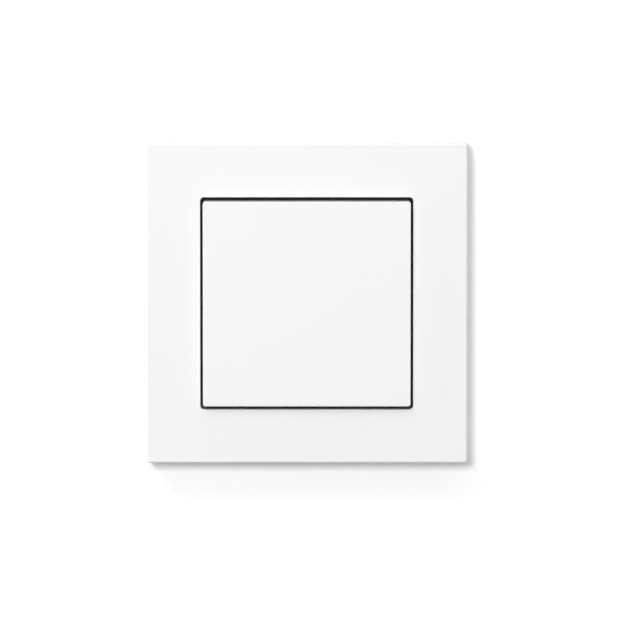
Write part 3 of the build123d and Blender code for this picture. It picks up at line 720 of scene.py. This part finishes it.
def roundedSheet(work, low, high, s):
    # a flat closed sheet between two corners, with round corners and softened rims
    corner, rim, steps = s["margin"], s["rim"], s["cornerSteps"]
    depth = high.y - low.y
    left, right = low.x + corner, high.x - corner
    bottom, top = low.z + corner, high.z - corner
    middles = ((right, top), (left, top), (left, bottom), (right, bottom))
    rings = []
    for y, inset in ((0, rim), (rim, 0), (depth - rim, 0), (depth, rim)):
        ring = []
        reach = corner - inset
        for turn, (x, z) in enumerate(middles):
            for step in range(steps + 1):
                angle = pi / 2 * (turn + step / steps)
                place = (x + reach * cos(angle), high.y - y, z + reach * sin(angle))
                ring.append(work.verts.new(place))
        rings.append(ring)
    skinOver(work, rings)


def turned(work, middle, profile, sides):
    # a closed body turned about a line along Y; profile is radius and height in front of middle
    x, y, z = middle
    rings = []
    for radius, rise in profile:
        ring = []
        for side in range(sides):
            angle = 2 * pi * side / sides
            place = (x + radius * cos(angle), y - rise, z + radius * sin(angle))
            ring.append(work.verts.new(place))
        rings.append(ring)
    skinOver(work, rings)


def nippleProfile(s, rise):
    # sunk foot, round flare, straight side and rounded top
    radius, flare, dome = s["nippleRadius"], s["flare"], s["dome"]
    steps = s["roundSteps"]
    angles = [pi / 2 * step / steps for step in range(steps + 1)]
    points = [(radius + flare, -s["sheet"] / 2)]
    points += [(radius + flare * (1 - sin(a)), flare * (1 - cos(a))) for a in angles]
    points += [(radius - dome * (1 - cos(a)), rise - dome * (1 - sin(a))) for a in angles]
    return points


def makeMat(name, node, s):
    low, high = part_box(node)
    sheetLow = Vector((low.x, high.y - s["sheet"], low.z))
    sheet = bmesh.new()
    roundedSheet(sheet, sheetLow, high, s)
    mat = meshPiece(name, sheet, "matRubber")
    nipples = bmesh.new()
    across = high.x - s["margin"] - s["nippleRadius"]
    for x in (-across, across):
        middle = (x, sheetLow.y, (low.z + high.z) / 2)
        turned(nipples, middle, nippleProfile(s, sheetLow.y - low.y), s["sides"])
    tool = meshPiece(name + "Nipples", nipples, "matRubber")
    join = mat.modifiers.new("join", "BOOLEAN")
    join.operation = "UNION"
    join.solver = "EXACT"
    join.object = tool
    graph = bpy.context.evaluated_depsgraph_get()
    joined = bpy.data.meshes.new_from_object(mat.evaluated_get(graph))
    mat.modifiers.clear()
    mat.data = joined
    bpy.data.objects.remove(tool)
    dressed(mat, "matRubber", newPieceAngle)
    standFor(mat, "housing", node)
    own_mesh(mat)


makeMat("upperMat", "upper_contact_mat", matSettings)
makeMat("lowerMat", "lower_contact_mat", matSettings)
print("contact mats made")

# What repeats or follows a path, grown by Geometry Nodes

wireAngle = radians(50)  # the same for wires
socketKinds = {float: "NodeSocketFloat", int: "NodeSocketInt", tuple: "NodeSocketVector"}


def newTree(name, values):
    # a tree with one named input for each of the values
    tree = bpy.data.node_groups.new(name, "GeometryNodeTree")
    tree.interface.new_socket("Geometry", in_out="INPUT", socket_type="NodeSocketGeometry")
    for label, value in values.items():
        kind = socketKinds[type(value)]
        socket = tree.interface.new_socket(label, in_out="INPUT", socket_type=kind)
        socket.default_value = value
    tree.interface.new_socket("Geometry", in_out="OUTPUT", socket_type="NodeSocketGeometry")
    return tree, addNode(tree, "NodeGroupInput"), addNode(tree, "NodeGroupOutput")


def bentCorners(tree, line, radius, steps):
    soften = addNode(tree, "GeometryNodeFilletCurve", mode="POLY")
    soften.inputs["Count"].default_value = steps
    tree.links.new(line, soften.inputs["Curve"])
    tree.links.new(radius, soften.inputs["Radius"])
    return soften.outputs[0]


def sweptWire(tree, line, radius, sides):
    # a round wire along a line, closed where the line ends
    wire = addNode(tree, "GeometryNodeCurvePrimitiveCircle")
    wire.inputs["Resolution"].default_value = sides
    sweep = addNode(tree, "GeometryNodeCurveToMesh")
    sweep.inputs["Fill Caps"].default_value = True
    tree.links.new(radius, wire.inputs["Radius"])
    tree.links.new(line, sweep.inputs["Curve"])
    tree.links.new(wire.outputs[0], sweep.inputs["Profile Curve"])
    return sweep.outputs[0]


def inRow(tree, shape, count, start, step):
    # copies of a shape, evenly spaced
    row = addNode(tree, "GeometryNodeMeshLine")
    spread = addNode(tree, "GeometryNodeInstanceOnPoints")
    tree.links.new(count, row.inputs["Count"])
    tree.links.new(start, row.inputs["Start Location"])
    tree.links.new(step, row.inputs["Offset"])
    tree.links.new(row.outputs[0], spread.inputs["Points"])
    tree.links.new(shape, spread.inputs["Instance"])
    return spread.outputs[0]


def endTree(tree, shape, put, finish):
    # every tree ends in real geometry with its finish
    realize = addNode(tree, "GeometryNodeRealizeInstances")
    paint = addNode(tree, "GeometryNodeSetMaterial")
    paint.inputs["Material"].default_value = materials[finish]
    tree.links.new(shape, realize.inputs[0])
    tree.links.new(realize.outputs[0], paint.inputs["Geometry"])
    tree.links.new(paint.outputs[0], put.inputs[0])


def grown(name, tree, values, body, nodes, data=None):
    # runs a tree once and keeps its result as a plain mesh
    piece = linkObject(name, data or bpy.data.meshes.new(name + "Seed"))
    grow = piece.modifiers.new("grow", "NODES")
    grow.node_group = tree
    for item in tree.interface.items_tree:
        if item.in_out == "INPUT" and item.name in values:
            grow[item.identifier] = values[item.name]
    graph = bpy.context.evaluated_depsgraph_get()
    mesh = bpy.data.meshes.new_from_object(piece.evaluated_get(graph))
    mesh.name = name
    if piece.type != "MESH":
        bpy.data.objects.remove(piece)
        piece = linkObject(name, mesh)
    else:
        piece.modifiers.remove(grow)
        piece.data = mesh
    mesh.polygons.foreach_set("use_smooth", [True] * len(mesh.polygons))
    mesh.set_sharp_from_angle(angle=wireAngle)
    standFor(piece, body, *nodes)
    return piece


springSettings = {
    "wireRadius": 0.16 * mm,
    "turns": 5.5,
    "pointsPerTurn": 26,
    "wireSides": 10,
    "keepWhenPressed": 0.63,  # share of its height that is left at the bow's limit
}


def springTree(s, values):
    # a wire wound round the Y axis, close at both ends, set once above and once below
    tree, given, put = newTree("returnSpringTree", values)
    size = given.outputs
    links = tree.links
    line = addNode(tree, "GeometryNodeCurvePrimitiveLine")
    points = addNode(tree, "GeometryNodeResampleCurve")
    points.inputs["Count"].default_value = round(s["turns"] * s["pointsPerTurn"]) + 1
    along = addNode(tree, "GeometryNodeSplineParameter").outputs["Factor"]
    angle = mathNode(tree, "MULTIPLY", mathNode(tree, "MULTIPLY", along, size["Turns"]), 2 * pi)
    rise = addNode(tree, "ShaderNodeMapRange", interpolation_type="SMOOTHSTEP")
    links.new(along, rise.inputs["Value"])
    place = addNode(tree, "ShaderNodeCombineXYZ")
    for operation, axis in (("COSINE", "X"), ("SINE", "Z")):
        reach = mathNode(tree, "MULTIPLY", mathNode(tree, operation, angle), size["Coil Radius"])
        links.new(reach, place.inputs[axis])
    height = mathNode(tree, "MULTIPLY", rise.outputs["Result"], size["Height"])
    links.new(mathNode(tree, "MULTIPLY", height, -1), place.inputs["Y"])
    wind = addNode(tree, "GeometryNodeSetPosition")
    links.new(line.outputs[0], points.inputs["Curve"])
    links.new(points.outputs[0], wind.inputs["Geometry"])
    links.new(place.outputs[0], wind.inputs["Position"])
    wire = sweptWire(tree, wind.outputs[0], size["Wire Radius"], s["wireSides"])
    springs = inRow(tree, wire, size["Springs"], size["Foot"], size["Spacing"])
    endTree(tree, springs, put, "springSteel")
    return tree


def makeSprings(s):
    low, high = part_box("upper_return_spring")
    wire = s["wireRadius"]
    middle = (low + high) / 2
    values = {
        "Coil Radius": (high.x - low.x) / 2 - wire,
        "Wire Radius": wire,
        "Turns": s["turns"],
        "Height": high.y - low.y - 2 * wire,
        "Springs": 2,
        "Foot": (middle.x, high.y - wire, -middle.z),
        "Spacing": (0, 0, 2 * middle.z),
    }
    nodes = ("upper_return_spring", "lower_return_spring")
    springs = grown("returnSprings", springTree(s, values), values, "housing", nodes)
    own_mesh(springs)


makeSprings(springSettings)

coilSettings = {"wireRadius": 0.065 * mm, "corner": 0.9 * mm, "cornerSteps": 2, "wireSides": 6}


def coilTree(s, values):
    # rings of wire stacked along the bobbin
    tree, given, put = newTree("coilTurnTree", values)
    size = given.outputs
    ring = addNode(tree, "GeometryNodeCurvePrimitiveQuadrilateral")
    tree.links.new(size["Width"], ring.inputs["Width"])
    tree.links.new(size["Depth"], ring.inputs["Height"])
    line = bentCorners(tree, ring.outputs[0], size["Corner"], s["cornerSteps"])
    wire = sweptWire(tree, line, size["Wire Radius"], s["wireSides"])
    endTree(tree, inRow(tree, wire, size["Turns"], size["Start"], size["Pitch"]), put, "copperWire")
    return tree


def makeCoil(s):
    low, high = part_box("coil_winding")
    wire = s["wireRadius"]
    turns = int((high.z - low.z) / (2 * wire))
    middle = (low + high) / 2
    values = {
        "Width": high.x - low.x - 2 * wire,
        "Depth": high.y - low.y - 2 * wire,
        "Corner": s["corner"],
        "Wire Radius": wire,
        "Turns": turns,
        "Start": (middle.x, middle.y, low.z + wire),
        "Pitch": (0, 0, (high.z - low.z - 2 * wire) / (turns - 1)),
    }
    grown("coilTurns", coilTree(s, values), values, "housing", ("coil_winding",))


makeCoil(coilSettings)

antennaSettings = {"wireRadius": 0.25 * mm, "bend": 0.8 * mm, "bendSteps": 6, "wireSides": 12}


def antennaTree(s, values):
    # a round wire along the given line, with bent corners
    tree, given, put = newTree("antennaTree", values)
    size = given.outputs
    line = bentCorners(tree, size["Geometry"], size["Bend"], s["bendSteps"])
    wire = sweptWire(tree, line, size["Wire Radius"], s["wireSides"])
    endTree(tree, wire, put, "copperWire")
    return tree


def makeAntenna(s):
    low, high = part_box("antenna_wire")
    wire = s["wireRadius"]
    left, right, top = low.x + wire, high.x - wire, high.z - wire
    line = bpy.data.curves.new("antennaLine", "CURVE")
    line.dimensions = "3D"
    path = line.splines.new("POLY")
    # up, across, and down again to a free end
    corners = [(left, low.z), (left, top), (right, top), (right, low.z + right - left)]
    path.points.add(len(corners) - 1)
    for point, (x, z) in zip(path.points, corners):
        point.co = (x, high.y - wire, z, 1)
    values = {"Wire Radius": wire, "Bend": s["bend"]}
    tree = antennaTree(s, values)
    grown("antennaRod", tree, values, "housing", ("antenna_wire",), data=line)


makeAntenna(antennaSettings)
print("springs, coil and antenna grown")
